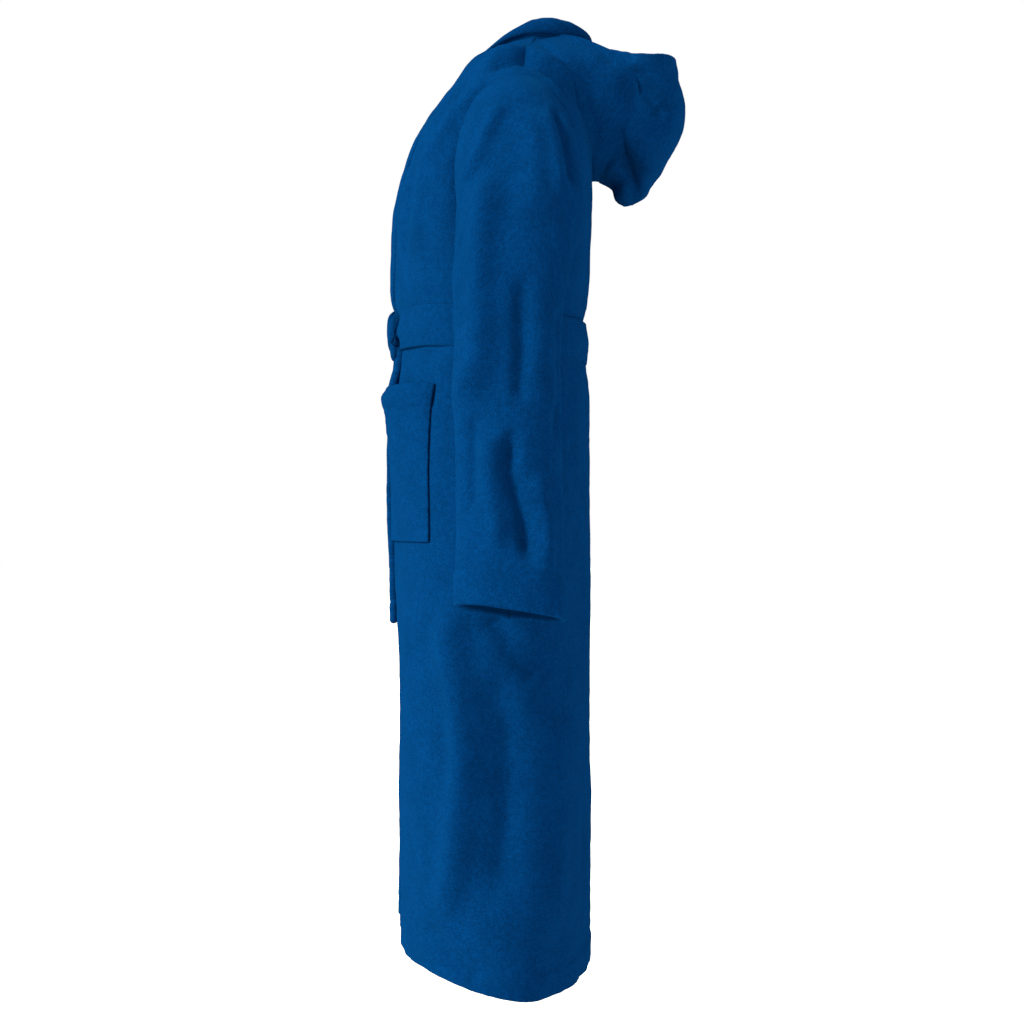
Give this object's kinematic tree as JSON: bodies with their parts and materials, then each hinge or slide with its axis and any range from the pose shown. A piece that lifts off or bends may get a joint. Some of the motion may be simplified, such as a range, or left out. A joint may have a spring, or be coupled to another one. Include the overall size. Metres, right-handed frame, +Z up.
{
  "type": "bathrobe",
  "caption": "Full-length hooded fleece bathrobe, lapped front, patch pockets and knotted belt, hung by its neck loop, with hood, sleeves, skirt fronts and belt tails that move.",
  "frame": {"origin": "middle of the hanging loop at the back of the neck", "axes": "+Z up along the hanging robe, +Y to the wearer's back, +X to the wearer's left"},
  "size_m": [0.8596, 0.3963, 1.214],
  "materials": {
    "fleece": "short soft fleece pile",
    "belt_fleece": "short soft fleece pile",
    "tape": "woven tape"
  },
  "bodies": {
    "robe_body": {"back_panel": "fleece", "back_hem_band": "fleece", "left_front_panel": "fleece", "right_front_panel": "fleece", "left_front_band": "fleece", "right_front_band": "fleece", "collar_roll": "fleece", "neck_tape": "tape", "hanging_loop": "tape", "left_pocket": "fleece", "left_pocket_hem": "fleece", "right_pocket": "fleece", "right_pocket_hem": "fleece", "belt_waistband": "belt_fleece", "belt_knot": "belt_fleece", "left_belt_loop": "belt_fleece", "right_belt_loop": "belt_fleece"},
    "hood": {"left_hood_panel": "fleece", "right_hood_panel": "fleece", "hood_edge_band": "fleece"},
    "left_upper_sleeve": {"left_upper_sleeve": "fleece"},
    "left_forearm_sleeve": {"left_lower_sleeve": "fleece", "left_cuff": "fleece"},
    "left_skirt_front": {"left_skirt_panel": "fleece", "left_skirt_band": "fleece", "left_skirt_hem": "fleece"},
    "left_belt_tail": {"left_belt_tail": "belt_fleece"},
    "right_upper_sleeve": {"right_upper_sleeve": "fleece"},
    "right_forearm_sleeve": {"right_lower_sleeve": "fleece", "right_cuff": "fleece"},
    "right_skirt_front": {"right_skirt_panel": "fleece", "right_skirt_band": "fleece", "right_skirt_hem": "fleece"},
    "right_belt_tail": {"right_belt_tail": "belt_fleece"}
  },
  "joints": [
    {"name": "hood_raise", "type": "hinge", "parent": "robe_body", "child": "hood", "pos_m": [0, 0.0205, 0.002], "axis": [1, 0, 0], "range_deg": [0, 150]},
    {"name": "left_sleeve_lift", "type": "hinge", "parent": "robe_body", "child": "left_upper_sleeve", "pos_m": [0.207, -0.082, -0.072], "axis": [0, -1, 0], "range_deg": [0, 45]},
    {"name": "left_elbow_bend", "type": "hinge", "parent": "left_upper_sleeve", "child": "left_forearm_sleeve", "pos_m": [0.3305, -0.152, -0.457], "axis": [-1, 0, 0], "range_deg": [0, 80], "stiffness_Nm_per_rad": 0.05, "springref_deg": -114.59},
    {"name": "left_front_open", "type": "hinge", "parent": "robe_body", "child": "left_skirt_front", "pos_m": [0.268, -0.11, -0.782], "axis": [-0.0412, 0, 0.9992], "range_deg": [0, 35]},
    {"name": "left_belt_tail_swing", "type": "hinge", "parent": "robe_body", "child": "left_belt_tail", "pos_m": [0.0275, -0.25, -0.401], "axis": [-1, 0, 0], "range_deg": [0, 60]},
    {"name": "right_sleeve_lift", "type": "hinge", "parent": "robe_body", "child": "right_upper_sleeve", "pos_m": [-0.207, -0.082, -0.072], "axis": [0, 1, 0], "range_deg": [0, 45]},
    {"name": "right_elbow_bend", "type": "hinge", "parent": "right_upper_sleeve", "child": "right_forearm_sleeve", "pos_m": [-0.3305, -0.152, -0.457], "axis": [-1, 0, 0], "range_deg": [0, 80], "stiffness_Nm_per_rad": 0.05, "springref_deg": -114.59},
    {"name": "right_front_open", "type": "hinge", "parent": "robe_body", "child": "right_skirt_front", "pos_m": [-0.268, -0.11, -0.782], "axis": [-0.0412, 0, -0.9992], "range_deg": [0, 14]},
    {"name": "right_belt_tail_swing", "type": "hinge", "parent": "robe_body", "child": "right_belt_tail", "pos_m": [-0.0215, -0.25, -0.401], "axis": [-1, 0, 0], "range_deg": [0, 60]}
  ],
  "couplings": [
    {"joint": "right_front_open", "follows": "left_front_open", "ratio": 0.4}
  ]
}
